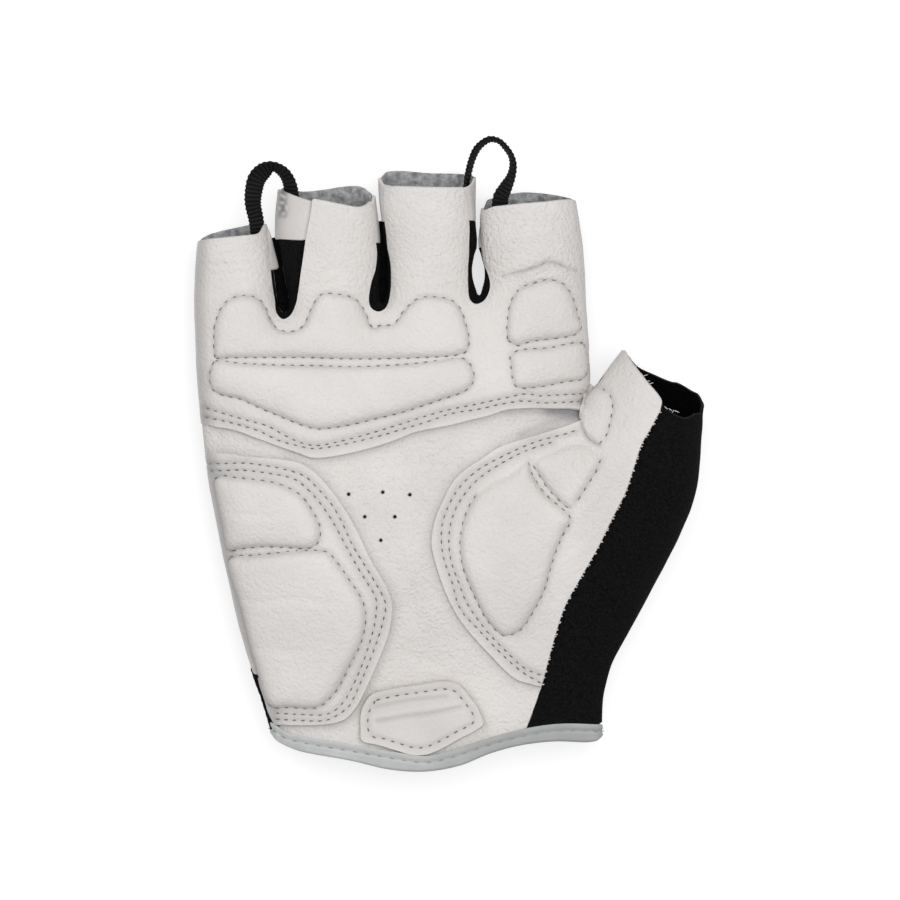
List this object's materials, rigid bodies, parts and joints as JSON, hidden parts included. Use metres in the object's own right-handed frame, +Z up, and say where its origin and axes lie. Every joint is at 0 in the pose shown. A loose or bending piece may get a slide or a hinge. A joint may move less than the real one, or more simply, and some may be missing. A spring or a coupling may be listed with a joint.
{
  "type": "fingerless cycling glove",
  "caption": "Right-hand fingerless cycling glove lying palm up: padded leather palm, open finger stalls, pull loops and a wrist closure tab.",
  "frame": {"origin": "bottom centre of the whole glove's bounding box, on the floor the glove's back rests on", "axes": "+Y towards the finger ends, +X towards the thumb, +Z up, out of the palm"},
  "size_m": [0.1272, 0.1587, 0.0265],
  "materials": {
    "white_leather": "soft matte grain",
    "white_trim": "soft matte grain",
    "black_fabric": "brushed stretch fabric",
    "grey_lining": "fleecy",
    "foam": "matte foam",
    "cuff_tape": "woven tape",
    "hook_and_loop": "hook and loop",
    "black_webbing": "woven webbing"
  },
  "bodies": {
    "glove": {"finger_palm_panel": "white_leather", "palm_centre_panel": "white_leather", "heel_panel": "white_leather", "thumb_palm_panel": "white_leather", "wrist_patch": "white_trim", "knuckle_pad_upper": "foam", "knuckle_pad_lower": "foam", "index_pad_upper": "foam", "index_pad_lower": "foam", "heel_pad_upper": "foam", "heel_pad_lower": "foam", "thenar_pad": "foam", "thumb_root_pad": "foam", "thumb_crotch_pad": "foam", "palm_lining": "grey_lining", "little_ring_fourchette": "black_fabric", "little_inner_band": "white_trim", "ring_outer_band": "white_trim", "ring_middle_fourchette": "black_fabric", "ring_inner_band": "white_trim", "middle_outer_band": "white_trim", "middle_index_fourchette": "black_fabric", "middle_inner_band": "white_trim", "index_outer_band": "white_trim", "thumb_side_panel": "black_fabric", "back_panel": "black_fabric", "cuff_binding": "cuff_tape", "closure_loop_patch": "hook_and_loop", "closure_tab_root": "black_fabric", "little_loop_tail": "black_webbing", "ring_loop_tail": "black_webbing", "middle_loop_tail": "black_webbing", "index_loop_tail": "black_webbing"},
    "closure_flap": {"closure_tab": "black_fabric", "closure_hook_patch": "hook_and_loop"},
    "left_loop": {"left_pull_loop": "black_webbing"},
    "right_loop": {"right_pull_loop": "black_webbing"}
  },
  "joints": [
    {"name": "closure_hinge", "type": "hinge", "parent": "glove", "child": "closure_flap", "pos_m": [0.0095, -0.0616, 0.0026], "axis": [0, 1, 0], "range_deg": [-150, 0]},
    {"name": "left_loop_hinge", "type": "hinge", "parent": "glove", "child": "left_loop", "pos_m": [-0.04406, 0.05931, 0.01182], "axis": [0.7025, 0.7116, 0.0146], "range_deg": [-15, 35], "stiffness_Nm_per_rad": 0.002},
    {"name": "right_loop_hinge", "type": "hinge", "parent": "glove", "child": "right_loop", "pos_m": [0.00819, 0.06506, 0.01232], "axis": [0.7995, -0.5914, 0.1051], "range_deg": [-15, 35], "stiffness_Nm_per_rad": 0.002}
  ]
}
